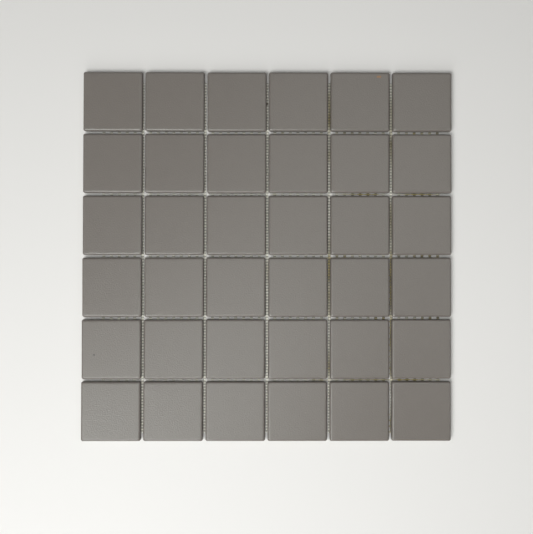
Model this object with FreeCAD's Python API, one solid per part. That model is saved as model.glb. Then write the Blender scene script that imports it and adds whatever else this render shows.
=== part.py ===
# Mosaic tile sheet: six rows of six square unglazed porcelain tiles, glued face up on an open net of
# resin-coated glass yarn. Millimetres. The sheet lies on its net with the tile faces up. The origin
# is the middle of the sheet at the underside of the net, +X runs along the rows and +Y up the columns.
import FreeCAD, Part
import math
import os

from FreeCAD import Placement, Rotation, Vector

# Sheet
ROWS = 6
COLUMNS = 6
TILE_SIDE = 48.0
JOINT_WIDTH = 2.0
PITCH = TILE_SIDE + JOINT_WIDTH

# Tile, pressed from one body of clay: a round arris, an upright land and a draft down to the back
TILE_THICKNESS = 5.6
CORNER_RADIUS = 1.6
ARRIS_RADIUS = 1.8
LAND_HEIGHT = 1.2
BACK_INSET = 0.25

# Back relief, parallel ribs inside a rim
RIM_WIDTH = 2.6
GROOVE_COUNT = 5
RIB_WIDTH = 2.0
GROOVE_DEPTH = 0.4
GROOVE_SLOPE = 0.4

# Flats that stand for a quarter of a round edge
CORNER_FLATS = 4
ARRIS_FLATS = 3

# Setting errors of tiles dropped into a jig by hand
SHIFT_ERROR = 0.12
TURN_ERROR = 0.12

# The sheet is a little out of square: each row lies this far along X from the row above it
ROW_DRIFT = -0.22

# Net, cut smaller than the sheet and laid a little to the right
YARN_HEIGHT = 0.2
NET_LEFT = -134.2
NET_RIGHT = 141.3
NET_BOTTOM = -143.4
NET_TOP = 141.2
CUT_MARGIN = 0.1
LENGTHWISE_PITCH = 6.32
LENGTHWISE_WIDTH = 2.4
LENGTHWISE_OFFSET = 0.0
CROSSWISE_PITCH = 4.714
CROSSWISE_WIDTH = 1.1
CROSSWISE_OFFSET = -1.3
YARN_BEVEL = 0.25

NET_HEIGHT = 2 * YARN_HEIGHT


def tile_outline(inset, height):
    """Corner points of the tile's outline drawn in by an inset. Its rounded corners are made of flats."""
    half_side = TILE_SIDE / 2 - inset
    radius = CORNER_RADIUS * half_side / (TILE_SIDE / 2)
    centre = half_side - radius
    points = []
    for quarter in range(4):
        turn = Rotation(Vector(0, 0, 1), 90 * quarter)
        for step in range(CORNER_FLATS + 1):
            angle = math.radians(90 * step / CORNER_FLATS)
            x = centre + radius * math.cos(angle)
            y = centre + radius * math.sin(angle)
            points.append(turn.multVec(Vector(x, y, height)))
    return points


def rectangle(length, width, middle, height):
    """Corner points of a rectangle along X, whose middle is that far along Y."""
    x = length / 2
    y = width / 2
    return [
        Vector(-x, middle - y, height),
        Vector(x, middle - y, height),
        Vector(x, middle + y, height),
        Vector(-x, middle + y, height),
    ]


def flat_face(points):
    return Part.Face(Part.makePolygon(points + points[:1]))


def solid_through(rings):
    """A closed solid of flat faces through rings of equally many points, from the lowest ring up."""
    faces = [flat_face(rings[0]), flat_face(rings[-1])]
    for lower, upper in zip(rings, rings[1:]):
        for here in range(len(lower)):
            before = here - 1
            faces.append(flat_face([lower[before], lower[here], upper[here], upper[before]]))
    solid = Part.makeSolid(Part.makeShell(faces))
    if solid.Volume < 0:
        solid.reverse()
    return solid


def tile_body():
    """The pressed blank, with its round arris under the face."""
    arris_foot = TILE_THICKNESS - ARRIS_RADIUS
    rings = [tile_outline(BACK_INSET, 0), tile_outline(0, arris_foot - LAND_HEIGHT)]
    for step in range(ARRIS_FLATS + 1):
        angle = math.radians(90 * step / ARRIS_FLATS)
        inset = ARRIS_RADIUS * (1 - math.cos(angle))
        height = arris_foot + ARRIS_RADIUS * math.sin(angle)
        rings.append(tile_outline(inset, height))
    return solid_through(rings)


def back_grooves():
    """The sloped recesses between the back ribs, which key the tile into its bed."""
    length = TILE_SIDE - 2 * BACK_INSET - 2 * RIM_WIDTH
    width = (length - (GROOVE_COUNT - 1) * RIB_WIDTH) / GROOVE_COUNT
    grooves = []
    for number in range(GROOVE_COUNT):
        middle = (number - (GROOVE_COUNT - 1) / 2) * (width + RIB_WIDTH)
        mouth = rectangle(length, width, middle, 0)
        floor = rectangle(length - 2 * GROOVE_SLOPE, width - 2 * GROOVE_SLOPE, middle, GROOVE_DEPTH)
        grooves.append(solid_through([mouth, floor]))
    return grooves


def make_tile():
    """One tile on the origin, its back at height 0."""
    return tile_body().cut(back_grooves()).Solids[0]


def setting_error(row, column, kind):
    """A repeatable error between -1 and 1 for one tile."""
    return math.sin(7.31 * row + 4.17 * column * column + 2.9 * kind)


def tile_placement(row, column):
    """Where a tile lies. Row 1 is at the top and column 1 at the left."""
    rows_down = row - (ROWS + 1) / 2
    x = (column - (COLUMNS + 1) / 2) * PITCH + ROW_DRIFT * rows_down
    x += SHIFT_ERROR * setting_error(row, column, 0)
    y = SHIFT_ERROR * setting_error(row, column, 1) - rows_down * PITCH
    quarter_turn = 90 * ((row * 3 + column * 5) % 4)
    angle = quarter_turn + TURN_ERROR * setting_error(row, column, 2)
    return Placement(Vector(x, y, NET_HEIGHT), Rotation(Vector(0, 0, 1), angle))


def make_yarn(start, run, sideways, width):
    """One flat yarn with bevelled edges, from its start along the vector run."""
    half = width / 2
    middle = YARN_HEIGHT / 2
    section = [
        (-half, middle),
        (YARN_BEVEL - half, 0),
        (half - YARN_BEVEL, 0),
        (half, middle),
        (half - YARN_BEVEL, YARN_HEIGHT),
        (YARN_BEVEL - half, YARN_HEIGHT),
    ]
    points = [start + sideways * across + Vector(0, 0, up) for across, up in section]
    return flat_face(points).extrude(run)


def yarn_centres(first, last, pitch, width, offset):
    """Yarn centres between the net's two cut edges, counted from the yarn at an offset from the middle."""
    margin = CUT_MARGIN + width / 2
    lowest = math.ceil((first + margin - offset) / pitch)
    highest = math.floor((last - margin - offset) / pitch)
    return [offset + number * pitch for number in range(lowest, highest + 1)]


def lengthwise_yarns():
    """The lower layer, along the columns."""
    run = Vector(0, NET_TOP - NET_BOTTOM, 0)
    yarns = []
    for x in yarn_centres(NET_LEFT, NET_RIGHT, LENGTHWISE_PITCH, LENGTHWISE_WIDTH, LENGTHWISE_OFFSET):
        yarns.append(make_yarn(Vector(x, NET_BOTTOM, 0), run, Vector(1, 0, 0), LENGTHWISE_WIDTH))
    return Part.makeCompound(yarns)


def crosswise_yarns():
    """The upper layer, along the rows, glued to the yarns below it and to the tile backs above it."""
    run = Vector(NET_RIGHT - NET_LEFT, 0, 0)
    yarns = []
    for y in yarn_centres(NET_BOTTOM, NET_TOP, CROSSWISE_PITCH, CROSSWISE_WIDTH, CROSSWISE_OFFSET):
        start = Vector(NET_LEFT, y, YARN_HEIGHT)
        yarns.append(make_yarn(start, run, Vector(0, -1, 0), CROSSWISE_WIDTH))
    return Part.makeCompound(yarns)


def make_parts():
    """Every piece of the sheet by its name."""
    parts = {
        "net_lengthwise_yarns": lengthwise_yarns(),
        "net_crosswise_yarns": crosswise_yarns(),
    }
    tile = make_tile()
    for row in range(1, ROWS + 1):
        for column in range(1, COLUMNS + 1):
            piece = tile.copy()
            piece.Placement = tile_placement(row, column)
            parts[f"tile_r{row}_c{column}"] = piece
    return parts


def main():
    os.makedirs("parts", exist_ok=True)
    for name, shape in make_parts().items():
        if not shape.isValid():
            raise RuntimeError(f"{name} isn't a valid shape")
        shape.exportStep(f"parts/{name}.step")
        print(name, len(shape.Solids), "solids", round(shape.Volume, 1), "mm3")


if __name__ == "__main__":
    main()
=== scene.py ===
import cmath
import math
import random

import bmesh
import bpy
from bpy.props import FloatProperty, FloatVectorProperty, IntProperty, PointerProperty
from mathutils import Matrix, Vector


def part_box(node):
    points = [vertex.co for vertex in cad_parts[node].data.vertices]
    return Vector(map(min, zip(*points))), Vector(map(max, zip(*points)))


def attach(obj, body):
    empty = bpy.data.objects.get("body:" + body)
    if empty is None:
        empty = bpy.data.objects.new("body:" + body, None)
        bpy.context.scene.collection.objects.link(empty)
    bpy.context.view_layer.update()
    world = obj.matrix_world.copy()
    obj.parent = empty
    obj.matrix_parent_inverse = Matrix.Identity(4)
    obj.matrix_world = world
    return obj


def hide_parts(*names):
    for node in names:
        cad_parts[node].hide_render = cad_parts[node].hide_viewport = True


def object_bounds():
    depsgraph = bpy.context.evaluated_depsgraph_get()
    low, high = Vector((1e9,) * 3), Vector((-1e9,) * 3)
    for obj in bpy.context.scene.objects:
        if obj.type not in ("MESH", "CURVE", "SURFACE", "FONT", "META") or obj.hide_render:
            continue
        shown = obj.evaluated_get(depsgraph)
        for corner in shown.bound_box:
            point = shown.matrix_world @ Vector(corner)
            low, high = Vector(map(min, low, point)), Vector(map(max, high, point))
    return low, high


bl_info = {
    "name": "Mosaic tile sheet",
    "version": (1, 0, 0),
    "blender": (4, 5, 0),
    "location": "3D View > Sidebar > Tile sheet",
    "description": "Porcelain mosaic tiles on a woven glass net, laid on a pale floor",
    "category": "Object",
}

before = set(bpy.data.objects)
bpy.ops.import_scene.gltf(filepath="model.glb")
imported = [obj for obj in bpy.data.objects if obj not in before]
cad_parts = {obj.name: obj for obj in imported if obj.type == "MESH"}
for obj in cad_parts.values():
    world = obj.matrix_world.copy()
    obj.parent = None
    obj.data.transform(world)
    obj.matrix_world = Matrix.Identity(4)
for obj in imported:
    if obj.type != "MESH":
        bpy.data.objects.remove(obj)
CAD_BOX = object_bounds()
BODY = "root"
LENGTHWISE_NODE = "net_lengthwise_yarns"
CROSSWISE_NODE = "net_crosswise_yarns"
TILE_NODES = sorted(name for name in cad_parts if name.startswith("tile_"))

MM = 0.001
TOUCH = 0.01 * MM
FULL_TURN = 2 * math.pi

# Facets of a tile's round corners and arrises, and the sharpest edge that is shaded as round
CORNER_STEPS = 8
ARRIS_STEPS = 8
SMOOTH_ANGLE = math.radians(30)

# Below this height above a tile's back, a point of its mesh belongs to the back relief
RELIEF_HEIGHT = 0.5 * MM

# Facets round a yarn, and its rings from one crossing to the next
FLAT_YARN_SIDES = 8
STRAND_SIDES = 6
RINGS = 4

# Half heights as shares of the net's thickness: of a flat yarn and of a crosswise strand
FLAT_HALF_HEIGHT = 0.15
STRAND_HALF_HEIGHT = 0.16

# Where a crosswise pair grips a flat yarn: the share of its width that it loses, and what its half
# height gains
PINCH = 0.16
PINCHED_SWELLING = 0.02

# How far past the middle of the net a strand dips where it crosses its partner, in half heights
STRAND_DIP = 1.08

# Size of the waves that firing leaves in the tiles, and of the yarns' drift in each direction
FIRING_WAVES = 14 * MM
DRIFT_WAVES = {"X": 45 * MM, "Y": 38 * MM}

# The longest piece that the shears take off the end of a yarn, and the seed of the random cuts
SHEAR_CUT = 1.1 * MM
SHEAR_SEED = 4

# Depth of the bumps
PEEL_DEPTH = 0.20 * MM
FLAT_FILAMENT_DEPTH = 0.03 * MM
STRAND_FILAMENT_DEPTH = 0.02 * MM

# Scale of the patterns on the floor and in the clay
FLOOR_SCALE = 3
GRAIN_SCALE = 1900
CLOUD_SCALE = 120
PEEL_SCALE = 1000
DARK_SPECK_SCALE = 2600
PALE_SPECK_SCALE = 2300

# Scale of the patterns on the yarns: blotches, the spread of glue, and filaments across and along
BLOTCH_SCALE = 60
GLUE_SCALE = 28
ACROSS_FILAMENTS = 6500
ALONG_FILAMENTS = 150

# Roughness of the clay, and what rubbing takes off it. Roughness of the yarns, and what glue takes off.
CLAY_ROUGHNESS = 0.30
RUBBED_SMOOTHER = 0.11
FLAT_YARN_ROUGHNESS = 0.36
SOAKED_SMOOTHER = 0.08
STRAND_ROUGHNESS = 0.26

# Share of its radius to which a mark of dirt keeps its full strength
MARK_CORE = 0.4

# How far from the middle the floor begins to fade into the walls, and where it is gone, in metres
FADE_START = 0.35
FADE_END = 1.5

# The camera stands a little left and in front of the middle, and looks down. Its turns are in degrees.
CAMERA_X = -4.2 * MM
CAMERA_Y = -16.9 * MM
CAMERA_TURNS = (0.777, -0.359, 0.022)
SENSOR_WIDTH = 36

# Soft lights aimed at the sheet: name, place and side in metres, and power in watts
SOFT_LIGHTS = (
    ("key softbox", (-0.80, -0.80, 1.50), 0.8, 16.3),
    ("low front softbox", (-0.32, -1.29, 0.70), 0.7, 6.3),
    ("front light", (-0.20, -0.60, 1.00), 0.4, 1.8),
    ("left softbox", (-1.00, -0.10, 1.20), 0.7, 1.9),
    ("right light", (0.70, -0.12, 0.90), 0.3, 1.0),
    ("back softbox", (0.27, 0.27, 1.45), 0.7, 2.5),
    ("top light", (-0.05, -0.15, 0.70), 0.3, 0.85),
)

# Marks of dirt on the tiles and on the net: place, radius and colour
TILE_MARKS = (
    ((89.7 * MM, 145.3 * MM, 6.0 * MM), 1.3 * MM, (0.26, 0.14, 0.06)),
    ((91.3 * MM, 145.3 * MM, 6.0 * MM), 1.3 * MM, (0.26, 0.14, 0.06)),
    ((-139.0 * MM, -79.5 * MM, 6.0 * MM), 1.1 * MM, (0.04, 0.035, 0.03)),
    ((-1.6 * MM, 123.8 * MM, 4.0 * MM), 2.0 * MM, (0.05, 0.03, 0.01)),
)
NET_MARKS = (
    ((-0.4 * MM, 124.2 * MM, 0.3 * MM), 1.8 * MM, (0.05, 0.03, 0.01)),
)


# Settings

class TilePressSettings(bpy.types.PropertyGroup):
    side: FloatProperty(
        name="Side", description="Length of a tile's side", default=48 * MM, unit="LENGTH"
    )
    thickness: FloatProperty(
        name="Thickness", description="Thickness of a tile", default=5.6 * MM, unit="LENGTH"
    )
    pitch: FloatProperty(
        name="Pitch", description="From one tile to the next", default=50 * MM, unit="LENGTH"
    )
    corner_radius: FloatProperty(
        name="Corner radius", description="Radius of the corners seen on the face",
        default=1.6 * MM, unit="LENGTH",
    )
    arris_radius: FloatProperty(
        name="Arris radius", description="Radius of the edge between face and side",
        default=1.8 * MM, unit="LENGTH",
    )
    land: FloatProperty(
        name="Land", description="Height of the upright part of a side", default=1.2 * MM, unit="LENGTH"
    )
    back_inset: FloatProperty(
        name="Back inset", description="How far the sides draw in towards the back",
        default=0.25 * MM, unit="LENGTH",
    )
    rim: FloatProperty(
        name="Back rim", description="Width of the rim round the back's ribs",
        default=2.6 * MM, unit="LENGTH",
    )
    groove_count: IntProperty(
        name="Grooves", description="Number of grooves in the back", default=5, min=1
    )
    rib: FloatProperty(
        name="Rib", description="Width of the ribs between the grooves", default=2 * MM, unit="LENGTH"
    )
    groove_depth: FloatProperty(
        name="Groove depth", description="Depth of the grooves in the back",
        default=0.4 * MM, unit="LENGTH",
    )
    waviness: FloatProperty(
        name="Waviness", description="How uneven firing leaves the faces and edges",
        default=0.03 * MM, unit="LENGTH",
    )
    clay: FloatVectorProperty(
        name="Clay", description="Colour of the fired body", subtype="COLOR",
        size=3, min=0, max=1, default=(0.151, 0.134, 0.119),
    )
    grain: FloatProperty(
        name="Grain", description="Strength of the speckle",
        default=0.10, min=0, max=1, subtype="FACTOR",
    )


class NetSettings(bpy.types.PropertyGroup):
    lengthwise_pitch: FloatProperty(
        name="Lengthwise pitch", description="From one lengthwise yarn to the next",
        default=6.32 * MM, unit="LENGTH",
    )
    lengthwise_width: FloatProperty(
        name="Lengthwise width", description="Width of a flat lengthwise yarn",
        default=2.4 * MM, unit="LENGTH",
    )
    crosswise_pitch: FloatProperty(
        name="Crosswise pitch", description="From one pair of crosswise strands to the next",
        default=4.714 * MM, unit="LENGTH",
    )
    crosswise_width: FloatProperty(
        name="Crosswise width", description="Width over a pair of crosswise strands",
        default=1.1 * MM, unit="LENGTH",
    )
    drift: FloatProperty(
        name="Drift", description="How far the yarns wander from their lines",
        default=0.5 * MM, unit="LENGTH",
    )
    strand: FloatVectorProperty(
        name="Strand", description="Colour of the thin crosswise strands", subtype="COLOR",
        size=3, min=0, max=1, default=(0.92, 0.91, 0.84),
    )
    yarn: FloatVectorProperty(
        name="Yarn", description="Colour of the flat lengthwise yarns", subtype="COLOR",
        size=3, min=0, max=1, default=(0.66, 0.65, 0.56),
    )
    glue: FloatVectorProperty(
        name="Glue", description="Colour of yarn soaked in glue", subtype="COLOR",
        size=3, min=0, max=1, default=(0.33, 0.27, 0.10),
    )


class StageSettings(bpy.types.PropertyGroup):
    floor: FloatVectorProperty(
        name="Floor", description="Colour of the floor", subtype="COLOR",
        size=3, min=0, max=1, default=(0.77, 0.765, 0.74),
    )
    floor_width: FloatProperty(
        name="Floor width", description="Width of the floor", default=4.0, unit="LENGTH"
    )
    camera_height: FloatProperty(
        name="Camera height", description="Height of the camera above the tile faces",
        default=0.6, unit="LENGTH",
    )
    lens: FloatProperty(name="Lens", description="Focal length in millimetres", default=50.29)
    light: FloatProperty(
        name="Light", description="Level of all the soft lights together", default=1.0, min=0
    )
    room: FloatProperty(
        name="Room light", description="Level of the even light all round", default=0.05, min=0
    )


# Shader sums

class Wire:
    """A shader socket that can be added, multiplied and compared like a number."""

    def __init__(self, finish, socket):
        self.finish = finish
        self.socket = socket

    def combine(self, operation, *values):
        """A sum by a Math node, fed with these values."""
        inputs = dict(enumerate(values))
        return self.finish.node("ShaderNodeMath", {"operation": operation}, inputs)

    def __add__(self, other):
        return self.combine("ADD", self, other)

    __radd__ = __add__

    def __sub__(self, other):
        return self.combine("SUBTRACT", self, other)

    def __rsub__(self, other):
        return self.combine("SUBTRACT", other, self)

    def __mul__(self, other):
        return self.combine("MULTIPLY", self, other)

    __rmul__ = __mul__

    def above(self, low, high):
        """0 below low, 1 above high, and smooth between them."""
        inputs = {"Value": self, "From Min": low, "From Max": high}
        return self.finish.node("ShaderNodeMapRange", {"interpolation_type": "SMOOTHSTEP"}, inputs)

    def below(self, low, high):
        return 1 - self.above(low, high)


class Finish:
    """A material or world being mixed: its node tree and the pattern coordinates of the piece."""

    def __init__(self, name, kind="materials"):
        self.made = getattr(bpy.data, kind).new(name)
        self.made.use_nodes = True
        self.tree = self.made.node_tree
        self.tree.nodes.clear()
        self.place = self.node("ShaderNodeTexCoord", {}, {}, "Object")

    def node(self, kind, settings, inputs, output=0):
        """Adds a node, sets it up, feeds its sockets and returns one of its outputs."""
        made = self.tree.nodes.new(kind)
        for name, value in settings.items():
            setattr(made, name, value)
        for name, value in inputs.items():
            self.feed(made.inputs[name], value)
        return None if output is None else Wire(self, made.outputs[output])

    def feed(self, socket, value):
        """Links a wire to a socket, or sets the socket to a plain value."""
        if isinstance(value, Wire):
            self.tree.links.new(value.socket, socket)
        else:
            socket.default_value = value

    def component(self, vector, letter):
        """One of the three numbers of a vector."""
        return self.node("ShaderNodeSeparateXYZ", {}, {0: vector}, letter)

    def noise(self, scale, detail=2.0, roughness=0.5, place=None):
        inputs = {
            "Vector": place or self.place, "Scale": scale, "Detail": detail, "Roughness": roughness,
        }
        return self.node("ShaderNodeTexNoise", {"noise_dimensions": "3D"}, inputs, "Fac")

    def stretched(self, along):
        """Pattern coordinates scaled by a factor in each direction."""
        return self.node("ShaderNodeVectorMath", {"operation": "MULTIPLY"}, {0: self.place, 1: along})

    def tinted(self, colour, factor):
        """A colour made lighter or darker."""
        if not isinstance(colour, Wire):
            colour = tuple(colour)[:3]
        return self.node("ShaderNodeVectorMath", {"operation": "SCALE"}, {0: colour, "Scale": factor})

    def mixed(self, share, first, second):
        """A colour between two others."""
        inputs = {"Factor": share, "A": as_colour(first), "B": as_colour(second)}
        made = self.tree.nodes.new("ShaderNodeMix")
        made.data_type = "RGBA"
        for name, value in inputs.items():
            self.feed(next(s for s in made.inputs if s.name == name and s.enabled), value)
        return Wire(self, next(s for s in made.outputs if s.enabled))

    def spot(self, centre, radius):
        """1 at a point, fading to 0 at a radius from it."""
        inputs = {0: self.place, 1: centre}
        away = self.node("ShaderNodeVectorMath", {"operation": "DISTANCE"}, inputs, "Value")
        return away.below(radius * MARK_CORE, radius)

    def bump(self, height, distance):
        return self.node("ShaderNodeBump", {}, {"Height": height, "Distance": distance}, "Normal")

    def coat(self, colour, roughness, normal=None, **fixed):
        """The surface shader. Values that don't change over the surface are set on its own sockets."""
        inputs = {"Base Color": colour, "Roughness": roughness}
        if normal is not None:
            inputs["Normal"] = normal
        for name, value in fixed.items():
            inputs[name.replace("_", " ")] = value
        return self.show(self.node("ShaderNodeBsdfPrincipled", {}, inputs))

    def show(self, shader, output="ShaderNodeOutputMaterial"):
        """Feeds the output with a shader and returns the material or world."""
        self.node(output, {}, {"Surface": shader}, None)
        return self.made

    def seen(self):
        """1 for what is seen directly, in a reflection or through glass, and 0 for other light."""
        kinds = ("Is Camera Ray", "Is Glossy Ray", "Is Transmission Ray")
        camera, glossy, through = (self.node("ShaderNodeLightPath", {}, {}, kind) for kind in kinds)
        mirrored = glossy.combine("MAXIMUM", glossy, through)
        return camera.combine("MAXIMUM", camera, mirrored)


def as_colour(value):
    """A wire as it is, or a plain colour with its fourth number."""
    if isinstance(value, Wire):
        return value
    return (*tuple(value)[:3], 1.0)


# Finishes

def stained(f, colour, marks):
    """A colour with marks of dirt on it."""
    for centre, radius, stain in marks:
        colour = f.mixed(f.spot(centre, radius), colour, stain)
    return colour


def fired_porcelain(tiles):
    """Unglazed through-body porcelain: fine speckle, a slight orange peel and a satin rubbed arris."""
    f = Finish("unglazed porcelain")
    grain = f.noise(GRAIN_SCALE, detail=3, roughness=0.6)
    cloud = f.noise(CLOUD_SCALE, detail=3)
    peel = f.noise(PEEL_SCALE, detail=2)

    # One shade for each tile, because each lies in a cell of its own
    cell = f.node("ShaderNodeVectorMath", {"operation": "SNAP"}, {0: f.place, 1: (tiles.pitch,) * 3})
    batch = f.node("ShaderNodeTexWhiteNoise", {"noise_dimensions": "3D"}, {"Vector": cell}, "Value")

    dark = f.noise(DARK_SPECK_SCALE, detail=0).above(0.66, 0.74)
    pale = f.noise(PALE_SPECK_SCALE, detail=0, place=f.stretched((1, 1, 1.3))).above(0.68, 0.76)
    shade = 1 + tiles.grain * (grain - 0.5) + 0.05 * (cloud - 0.5) + 0.03 * (batch - 0.5)
    shade = shade - 0.10 * dark + 0.07 * pale

    # The round of the arris, between the face and the upright side
    upward = f.component(f.node("ShaderNodeTexCoord", {}, {}, "Normal"), "Z")
    rubbed = upward.below(0.94, 0.998) * upward.above(0.40, 0.75)

    colour = stained(f, f.tinted(tiles.clay, shade), TILE_MARKS)
    roughness = CLAY_ROUGHNESS + 0.06 * (cloud - 0.5) + 0.06 * (grain - 0.5) - RUBBED_SMOOTHER * rubbed
    relief = f.bump(0.9 * peel + 0.1 * grain, PEEL_DEPTH)
    return f.coat(colour, roughness, relief, IOR=1.5, Specular_Tint=(0.94, 1.0, 0.97, 1.0))


def glue_stain(f):
    """How far glue has soaked into the net. There is more of it towards the right."""
    spread = f.noise(GLUE_SCALE, detail=2) + 1.9 * f.component(f.place, "X")
    return spread.above(0.56, 0.80)


def flat_yarn_finish(net, first_y):
    """Flat glass yarn in clear resin, with a painted highlight under the crosswise strands and midway
    between them, and painted shade in between.
    """
    f = Finish("flat glass yarn")
    scale = (ACROSS_FILAMENTS, ALONG_FILAMENTS, ACROSS_FILAMENTS)
    filament = f.noise(1, detail=2, place=f.stretched(scale))
    blotch = f.noise(BLOTCH_SCALE, detail=3)
    # Painted highlight and shade along the yarn: lighter at the strands and midway between them, darker
    # beside the strands
    beat = (f.component(f.place, "Y") - first_y) * (2 * FULL_TURN / net.crosswise_pitch)
    painted_sheen_band = beat.combine("COSINE", beat)
    soaked = glue_stain(f)
    dry = f.tinted(net.yarn, 0.8 + 0.4 * blotch)
    wet = f.tinted(net.glue, 1.9 * blotch - 0.3)
    colour = f.tinted(f.mixed(soaked, dry, wet), (0.90 + 0.20 * filament) * (0.98 + 0.44 * painted_sheen_band))
    colour = stained(f, colour, NET_MARKS)
    roughness = FLAT_YARN_ROUGHNESS - SOAKED_SMOOTHER * soaked
    return f.coat(colour, roughness, f.bump(filament, FLAT_FILAMENT_DEPTH), IOR=1.5)


def strand_finish(net):
    """Thin round strands in clear resin, pale and glossy."""
    f = Finish("thin glass strand")
    scale = (ALONG_FILAMENTS, ACROSS_FILAMENTS, ACROSS_FILAMENTS)
    filament = f.noise(1, detail=2, place=f.stretched(scale))
    blotch = f.noise(BLOTCH_SCALE, detail=3)
    dry = f.tinted(net.strand, 0.9 + 0.2 * blotch)
    wet = f.tinted(net.glue, 1.0 + 0.8 * blotch)
    colour = f.tinted(f.mixed(glue_stain(f), dry, wet), 0.92 + 0.16 * filament)
    colour = stained(f, colour, NET_MARKS)
    return f.coat(colour, STRAND_ROUGHNESS, f.bump(filament, STRAND_FILAMENT_DEPTH), IOR=1.6)


def pale_floor(stage):
    """A matt floor. Far from the sheet it fades into the walls as they are seen."""
    f = Finish("pale floor")
    colour = f.tinted(stage.floor, 0.985 + 0.03 * f.noise(FLOOR_SCALE, detail=2))
    inputs = {"Base Color": colour, "Roughness": 0.55, "IOR": 1.45}
    matt = f.node("ShaderNodeBsdfPrincipled", {}, inputs)
    wall = f.node("ShaderNodeEmission", {}, {"Color": as_colour(stage.floor), "Strength": 1.0})
    away = f.node("ShaderNodeVectorMath", {"operation": "LENGTH"}, {0: f.place}, "Value")
    share = f.seen() * away.above(FADE_START, FADE_END)
    return f.show(f.node("ShaderNodeMixShader", {}, {0: share, 1: matt, 2: wall}))


def pale_room(stage):
    """Walls that look as pale as the floor, also in reflections, and give little other light."""
    f = Finish("room", "worlds")
    level = stage.room + (1 - stage.room) * f.seen()
    wall = f.node("ShaderNodeBackground", {}, {"Color": as_colour(stage.floor), "Strength": level})
    return f.show(wall, "ShaderNodeOutputWorld")


# Modelling helpers

def activate(piece):
    """Makes a piece active and selects nothing else."""
    bpy.ops.object.select_all(action="DESELECT")
    piece.select_set(True)
    bpy.context.view_layer.objects.active = piece


def open_piece(piece):
    """Starts editing a piece with nothing selected."""
    activate(piece)
    bpy.ops.object.mode_set(mode="EDIT")
    bpy.ops.mesh.select_all(action="DESELECT")


def close_piece():
    bpy.ops.object.mode_set(mode="OBJECT")


def pick(piece, kind, test):
    """Selects only the vertices, edges or faces that pass a test."""
    bpy.ops.mesh.select_all(action="DESELECT")
    bpy.ops.mesh.select_mode(type=kind)
    work = bmesh.from_edit_mesh(piece.data)
    items = {"VERT": work.verts, "EDGE": work.edges, "FACE": work.faces}[kind]
    for item in items:
        item.select_set(bool(test(item)))
    work.select_flush_mode()
    bmesh.update_edit_mesh(piece.data)


def slice_all(point, normal, **options):
    """Cuts the whole piece with a plane."""
    bpy.ops.mesh.select_all(action="SELECT")
    bpy.ops.mesh.bisect(plane_co=point, plane_no=normal, **options)


def modify(piece, kind, **settings):
    """Adds a modifier to a piece and applies it."""
    activate(piece)
    modifier = piece.modifiers.new(kind.lower(), kind)
    for name, value in settings.items():
        setattr(modifier, name, value)
    bpy.ops.object.modifier_apply(modifier=modifier.name)


def settle(piece):
    """Puts the object's place into its mesh."""
    activate(piece)
    bpy.ops.object.transform_apply(location=True, rotation=True, scale=True)


def cloud_texture(name, size):
    texture = bpy.data.textures.new(name, "CLOUDS")
    texture.noise_scale = size
    return texture


def finish_piece(piece, material, slot, *nodes):
    """Gives a piece its material, and puts it in the place of nodes of the model. The slot is not used.
    """
    piece.data.materials.clear()
    piece.data.materials.append(material)
    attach(piece, BODY)
    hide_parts(*nodes)


def remove(piece):
    mesh = piece.data
    bpy.data.objects.remove(piece)
    bpy.data.meshes.remove(mesh)


# Tiles

def groove_lines(tiles):
    """The ends of the grooves, and the two edges of each groove, measured from the tile's middle."""
    length = tiles.side - 2 * tiles.back_inset - 2 * tiles.rim
    width = (length - (tiles.groove_count - 1) * tiles.rib) / tiles.groove_count
    edges = []
    for number in range(tiles.groove_count):
        start = number * (width + tiles.rib) - length / 2
        edges.append((start, start + width))
    return length / 2, edges


def press_tile(tiles):
    """Models one tile on the origin with its back at height 0."""
    half = tiles.side / 2
    foot = tiles.thickness - tiles.arris_radius
    bpy.ops.object.select_all(action="DESELECT")
    bpy.ops.mesh.primitive_cube_add(
        size=1, location=(0, 0, foot / 2), scale=(tiles.side, tiles.side, foot)
    )
    tile = bpy.context.object
    settle(tile)
    open_piece(tile)
    pick(tile, "EDGE", lambda e: abs(e.verts[0].co.z - e.verts[1].co.z) > TOUCH)
    bpy.ops.mesh.bevel(offset=tiles.corner_radius, segments=CORNER_STEPS, affect="EDGES")
    slice_all((0, 0, foot - tiles.land), (0, 0, 1))
    pick(tile, "VERT", lambda v: v.co.z < TOUCH)
    shrink = 1 - tiles.back_inset / half
    bpy.ops.transform.resize(value=(shrink, shrink, 1), center_override=(0, 0, 0))
    raise_arris(tile, tiles, foot)
    press_grooves(tile, tiles)
    close_piece()
    return tile


def raise_arris(tile, tiles, foot):
    """Draws the top up and in through the round of the arris, until it is the face."""
    pick(tile, "FACE", lambda f: min(v.co.z for v in f.verts) > foot - TOUCH)
    half = tiles.side / 2
    height = foot
    for step in range(1, ARRIS_STEPS + 1):
        angle = math.pi / 2 * step / ARRIS_STEPS
        rise = foot + tiles.arris_radius * math.sin(angle) - height
        next_half = tiles.side / 2 - tiles.arris_radius * (1 - math.cos(angle))
        bpy.ops.mesh.extrude_region_move(TRANSFORM_OT_translate={"value": (0, 0, rise)})
        shrink = next_half / half
        bpy.ops.transform.resize(value=(shrink, shrink, 1), center_override=(0, 0, 0))
        half = next_half
        height += rise


def press_grooves(tile, tiles):
    """Cuts the tile into a grid along its grooves and presses them into the back."""
    reach, edges = groove_lines(tiles)
    for x in (-reach, -reach / 2, 0, reach / 2, reach):
        slice_all((x, 0, 0), (1, 0, 0))
    for y in (y for pair in edges for y in pair):
        slice_all((0, y, 0), (0, 1, 0))

    def in_groove(face):
        middle = face.calc_center_median()
        across = any(low < middle.y < high for low, high in edges)
        return middle.z < TOUCH and abs(middle.x) < reach and across

    pick(tile, "FACE", in_groove)
    bpy.ops.mesh.inset(thickness=tiles.groove_depth, depth=-tiles.groove_depth)


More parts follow.
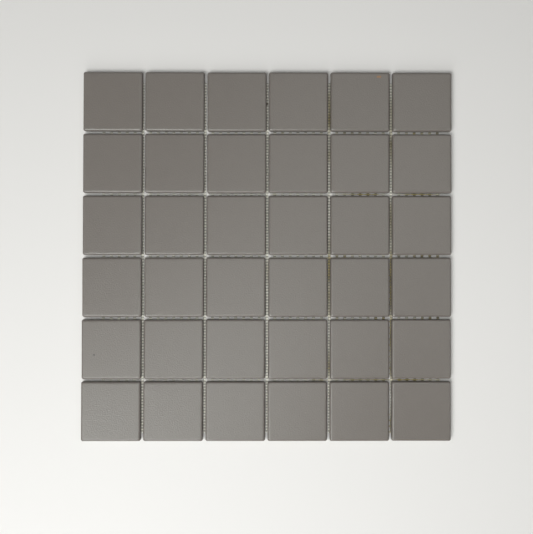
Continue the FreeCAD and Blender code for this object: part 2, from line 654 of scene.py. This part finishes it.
def tile_place(node):
    """Where a tile of the model lies and how it is turned, read from its own mesh."""
    low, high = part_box(node)
    middle = (low + high) / 2
    points = [v.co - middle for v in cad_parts[node].data.vertices]

    # The fourth powers of a square's corners all point one way, four times as far round as the square
    rim = [complex(p.x, p.y) for p in points if p.z > high.z - middle.z - TOUCH]
    turn = cmath.phase(-sum(p ** 4 for p in rim)) / 4

    # The grooves' corners lie farther out along the grooves than across them
    floor = low.z - middle.z
    groove = [p for p in points if TOUCH < p.z - floor < RELIEF_HEIGHT]
    if sum(abs(p.x) for p in groove) < sum(abs(p.y) for p in groove):
        turn += math.pi / 2
    return Matrix.Translation((middle.x, middle.y, low.z)) @ Matrix.Rotation(turn, 4, "Z")


def lay_tiles(context):
    tiles = context.scene.tile_press
    master = press_tile(tiles)
    activate(master)
    bpy.ops.object.shade_smooth_by_angle(angle=SMOOTH_ANGLE)
    porcelain = fired_porcelain(tiles)
    unevenness = cloud_texture("firing unevenness", FIRING_WAVES)
    for node in TILE_NODES:
        tile = master.copy()
        tile.data = master.data.copy()
        tile.name = tile.data.name = "pressed_" + node
        context.collection.objects.link(tile)
        tile.data.transform(tile_place(node))
        modify(
            tile, "DISPLACE", texture=unevenness, strength=tiles.waviness, mid_level=1,
            texture_coords="GLOBAL",
        )
        finish_piece(tile, porcelain, "porcelain", node)
    remove(master)


# Net

def ring_at(axis, distance):
    """A test for the vertices of one ring of a yarn."""
    return lambda v: abs(v.co[axis] - distance) < TOUCH


def straight_yarn(axis, length, sides, segments):
    """An open tube of radius 1 along X (0) or Y (1), in equal segments, centred on the origin."""
    bpy.ops.object.select_all(action="DESELECT")
    rotation = (0, math.pi / 2, 0) if axis == 0 else (math.pi / 2, 0, 0)
    bpy.ops.mesh.primitive_cylinder_add(
        vertices=sides, radius=1, depth=length, end_fill_type="NOTHING", rotation=rotation
    )
    yarn = bpy.context.object
    settle(yarn)
    open_piece(yarn)
    normal = [0, 0, 0]
    normal[axis] = 1
    for number in range(1, segments):
        point = [0, 0, 0]
        point[axis] = length * (number / segments - 0.5)
        slice_all(point, normal)
    return yarn


def shape_ring(yarn, axis, distance, half_width, half_height, aside, up):
    """Sets the width, height and place of one ring of a yarn."""
    pick(yarn, "VERT", ring_at(axis, distance))
    centre = [0, 0, 0]
    centre[axis] = distance
    size = [half_width, half_width, half_height]
    size[axis] = 1
    bpy.ops.transform.resize(value=size, center_override=centre)
    move = [aside, aside, up]
    move[axis] = 0
    bpy.ops.transform.translate(value=move)


def repeat(piece, axis, step, count, merge):
    """Repeats a piece along X (0) or Y (1), joined end to end if merge is true."""
    offset = [0, 0, 0]
    offset[axis] = step
    modify(
        piece, "ARRAY", count=count, use_relative_offset=False, use_constant_offset=True,
        constant_offset_displace=offset, use_merge_vertices=merge, merge_threshold=TOUCH,
    )


def trim(piece, axis, low, high):
    """Cuts a yarn to length and closes its ends."""
    open_piece(piece)
    for limit, way in ((low, -1), (high, 1)):
        point = [0, 0, 0]
        point[axis] = limit
        normal = [0, 0, 0]
        normal[axis] = way
        slice_all(point, normal, clear_outer=True, use_fill=True)
    close_piece()


def ragged_ends(piece, axis, low, high, first, pitch, rng):
    """Shortens each yarn by a little at both ends, as shears leave it."""
    across = 1 - axis
    cuts = {}
    for vertex in piece.data.vertices:
        for end, way in ((low, 1), (high, -1)):
            if abs(vertex.co[axis] - end) < TOUCH:
                key = (round((vertex.co[across] - first) / pitch), way)
                if key not in cuts:
                    cuts[key] = way * rng.uniform(0, SHEAR_CUT)
                vertex.co[axis] += cuts[key]


def yarn_row(node, axis, width, pitch):
    """The first yarn's place across a node of the net, and the number of yarns."""
    low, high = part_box(node)
    first = low[axis] + width / 2
    last = high[axis] - width / 2
    return first, round((last - first) / pitch) + 1


def weave_net(context):
    net = context.scene.tile_net
    first_x, count_x = yarn_row(LENGTHWISE_NODE, 0, net.lengthwise_width, net.lengthwise_pitch)
    first_y, count_y = yarn_row(CROSSWISE_NODE, 1, net.crosswise_width, net.crosswise_pitch)
    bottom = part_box(LENGTHWISE_NODE)[0].z
    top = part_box(CROSSWISE_NODE)[1].z
    rng = random.Random(SHEAR_SEED)
    drift = {way: cloud_texture("net drift " + way, size) for way, size in DRIFT_WAVES.items()}

    flat = flat_yarns(net, first_x, count_x, first_y, count_y, bottom, top)
    low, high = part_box(LENGTHWISE_NODE)
    ragged_ends(flat, 1, low.y, high.y, first_x, net.lengthwise_pitch, rng)
    pieces = [flat]
    low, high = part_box(CROSSWISE_NODE)
    for over in (True, False):
        strands = leno_strands(net, over, first_x, count_x, first_y, count_y, bottom, top)
        ragged_ends(strands, 0, low.x, high.x, first_y, net.crosswise_pitch, rng)
        pieces.append(strands)
    for piece in pieces:
        for way, texture in drift.items():
            modify(
                piece, "DISPLACE", texture=texture, strength=net.drift, direction=way,
                texture_coords="GLOBAL",
            )
        activate(piece)
        bpy.ops.object.shade_smooth()
    finish_piece(pieces[0], flat_yarn_finish(net, first_y), "glass_yarn", LENGTHWISE_NODE)
    crosswise = strand_finish(net)
    for piece in pieces[1:]:
        finish_piece(piece, crosswise, "glass_yarn", CROSSWISE_NODE)


def flat_yarns(net, first_x, count_x, first_y, count_y, bottom, top):
    """The flat lengthwise yarns, pinched where the crosswise pairs grip them."""
    step = net.crosswise_pitch
    yarn = straight_yarn(1, step, FLAT_YARN_SIDES, RINGS)
    yarn.name = yarn.data.name = "flat_lengthwise_yarns"
    for number in range(RINGS + 1):
        y = step * (number / RINGS - 0.5)
        grip = (1 + math.cos(FULL_TURN * y / step)) / 2
        half_width = net.lengthwise_width / 2 * (1 - PINCH * grip)
        half_height = (top - bottom) * (FLAT_HALF_HEIGHT + PINCHED_SWELLING * grip)
        shape_ring(yarn, 1, y, half_width, half_height, 0, 0)
    close_piece()
    yarn.location = (first_x, first_y - step, (bottom + top) / 2)
    settle(yarn)
    repeat(yarn, 1, step, count_y + 2, True)
    low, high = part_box(LENGTHWISE_NODE)
    trim(yarn, 1, low.y, high.y)
    repeat(yarn, 0, net.lengthwise_pitch, count_x, False)
    return yarn


def leno_strands(net, over, first_x, count_x, first_y, count_y, bottom, top):
    """One strand of each crosswise pair. It crosses its partner between the flat yarns."""
    step = net.lengthwise_pitch
    way = 1 if over else -1
    thickness = top - bottom
    half_height = STRAND_HALF_HEIGHT * thickness
    crest = thickness / 2 - half_height
    dip = STRAND_DIP * half_height
    half_width = net.crosswise_width / 4
    strand = straight_yarn(0, 2 * step, STRAND_SIDES, 2 * RINGS)
    strand.name = strand.data.name = "leno_strands_" + ("over" if over else "under")
    for number in range(2 * RINGS + 1):
        x = step * (number / RINGS - 1)
        aside = way * half_width * math.cos(math.pi * x / step)
        up = (crest - dip) / 2 + (crest + dip) / 2 * math.cos(FULL_TURN * x / step)
        shape_ring(strand, 0, x, half_width, half_height, aside, way * up)
    close_piece()
    strand.location = (first_x - step, first_y, (bottom + top) / 2)
    settle(strand)
    repeat(strand, 0, 2 * step, count_x // 2 + 2, True)
    low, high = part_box(CROSSWISE_NODE)
    trim(strand, 0, low.x, high.x)
    repeat(strand, 1, net.crosswise_pitch, count_y, False)
    return strand


# Stage

def set_stage(context):
    stage = context.scene.tile_stage
    scene = context.scene
    bpy.ops.object.select_all(action="DESELECT")
    bpy.ops.mesh.primitive_plane_add(size=stage.floor_width)
    floor = context.object
    floor.name = "floor"
    floor.data.materials.append(pale_floor(stage))

    face = CAD_BOX[1].z
    camera = bpy.data.objects.new("camera", bpy.data.cameras.new("camera"))
    scene.collection.objects.link(camera)
    camera.location = (CAMERA_X, CAMERA_Y, face + stage.camera_height)
    camera.rotation_euler = [math.radians(angle) for angle in CAMERA_TURNS]
    camera.data.lens = stage.lens
    camera.data.sensor_width = SENSOR_WIDTH
    camera.data.sensor_fit = "HORIZONTAL"
    scene.camera = camera

    for name, place, side, power in SOFT_LIGHTS:
        add_lamp(scene, name, Vector(place), side, power * stage.light)
    scene.world = pale_room(stage)
    scene.view_settings.view_transform = "Standard"


def add_lamp(scene, name, place, side, power):
    """A square soft light aimed at the middle of the sheet."""
    lamp = bpy.data.objects.new(name, bpy.data.lights.new(name, "AREA"))
    scene.collection.objects.link(lamp)
    lamp.data.shape = "SQUARE"
    lamp.data.size = side
    lamp.data.energy = power
    lamp.location = place
    lamp.rotation_euler = (-place).to_track_quat("-Z", "Y").to_euler()


# Operators and panel

class TILESHEET_OT_lay_tiles(bpy.types.Operator):
    """Models a pressed porcelain tile and lays one in each tile's place"""
    bl_idname = "tile_sheet.lay_tiles"
    bl_label = "Lay tiles"

    def execute(self, context):
        lay_tiles(context)
        return {"FINISHED"}


class TILESHEET_OT_weave_net(bpy.types.Operator):
    """Weaves the glass net under the tiles"""
    bl_idname = "tile_sheet.weave_net"
    bl_label = "Weave net"

    def execute(self, context):
        weave_net(context)
        return {"FINISHED"}


class TILESHEET_OT_set_stage(bpy.types.Operator):
    """Adds the floor, the lights and the camera"""
    bl_idname = "tile_sheet.set_stage"
    bl_label = "Set stage"

    def execute(self, context):
        set_stage(context)
        return {"FINISHED"}


OPERATORS = (TILESHEET_OT_lay_tiles, TILESHEET_OT_weave_net, TILESHEET_OT_set_stage)


class TILESHEET_PT_panel(bpy.types.Panel):
    """Sizes, colours and steps of the tile sheet"""
    bl_label = "Tile sheet"
    bl_idname = "TILESHEET_PT_panel"
    bl_space_type = "VIEW_3D"
    bl_region_type = "UI"
    bl_category = "Tile sheet"

    def draw(self, context):
        for group in (context.scene.tile_press, context.scene.tile_net, context.scene.tile_stage):
            box = self.layout.box()
            for name in group.__annotations__:
                box.prop(group, name)
        for operator in OPERATORS:
            self.layout.operator(operator.bl_idname)


CLASSES = (TilePressSettings, NetSettings, StageSettings, *OPERATORS, TILESHEET_PT_panel)


def register():
    for each in CLASSES:
        bpy.utils.register_class(each)
    bpy.types.Scene.tile_press = PointerProperty(type=TilePressSettings)
    bpy.types.Scene.tile_net = PointerProperty(type=NetSettings)
    bpy.types.Scene.tile_stage = PointerProperty(type=StageSettings)


def unregister():
    del bpy.types.Scene.tile_press
    del bpy.types.Scene.tile_net
    del bpy.types.Scene.tile_stage
    for each in reversed(CLASSES):
        bpy.utils.unregister_class(each)


def main():
    register()
    bpy.ops.tile_sheet.lay_tiles()
    bpy.ops.tile_sheet.weave_net()
    bpy.ops.tile_sheet.set_stage()


if __name__ == "__main__":
    main()
